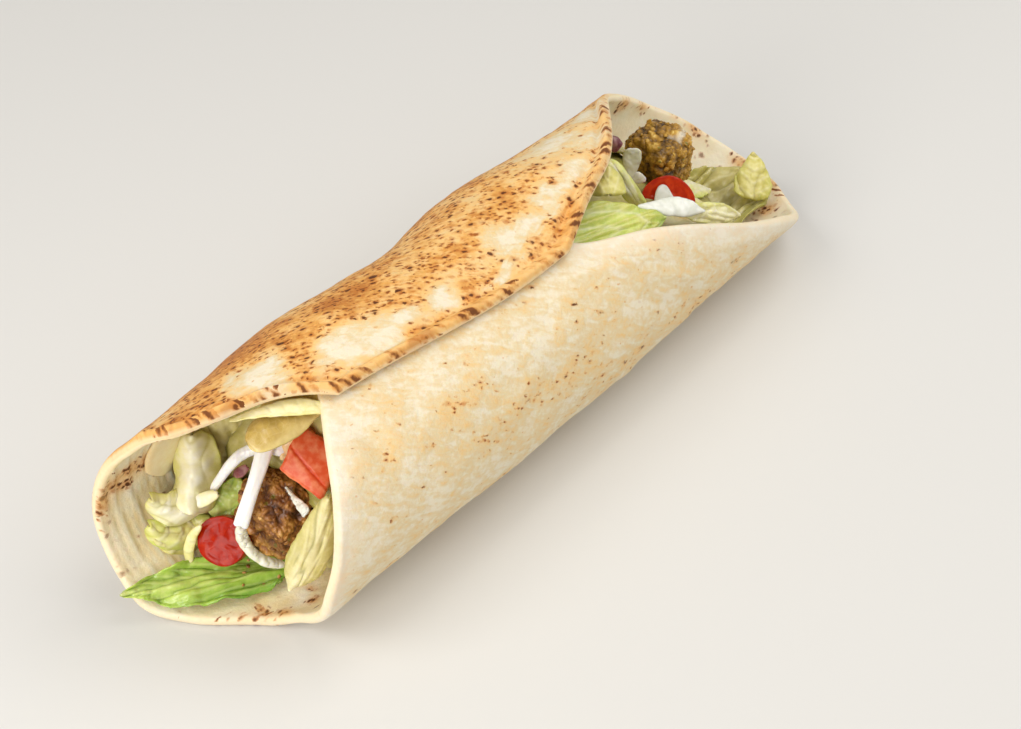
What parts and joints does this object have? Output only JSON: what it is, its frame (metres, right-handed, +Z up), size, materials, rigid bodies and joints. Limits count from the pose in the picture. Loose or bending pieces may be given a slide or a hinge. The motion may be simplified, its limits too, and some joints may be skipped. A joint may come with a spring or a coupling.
{
  "type": "falafel wrap",
  "caption": "Flatbread rolled into an open tube round falafel, tomato, lettuce and shredded cabbage, with a scooped far mouth.",
  "frame": {"origin": "on the ground under the axis of the roll, at the middle of the seam", "axes": "+X along the roll towards the scooped mouth, -Y the pale front panel, +Z up"},
  "size_m": [0.2818, 0.0791, 0.0778],
  "materials": {
    "flatbread": "toasted flatbread, matt",
    "lettuce": "pale lettuce, moist",
    "green_lettuce": "green lettuce, moist",
    "falafel": "fried chickpea crust",
    "tomato": "wet tomato",
    "cabbage": "white cabbage and onion, moist"
  },
  "bodies": {
    "root": {"flatbread": "flatbread", "salad_core": "lettuce", "falafel_near": "falafel", "falafel_far": "falafel", "tomato_wedge_near": "tomato", "tomato_slice_near": "tomato", "tomato_slice_far": "tomato", "lettuce_green_near": "green_lettuce", "lettuce_pale_near": "lettuce", "lettuce_curl_near": "lettuce", "lettuce_side_near": "lettuce", "lettuce_front_far": "lettuce", "lettuce_fold_far": "lettuce", "lettuce_bed_far": "lettuce", "lettuce_tip_far": "lettuce", "cabbage_long_near": "cabbage", "cabbage_low_near": "cabbage", "cabbage_curved_near": "cabbage", "onion_far": "cabbage"}
  },
  "joints": []
}
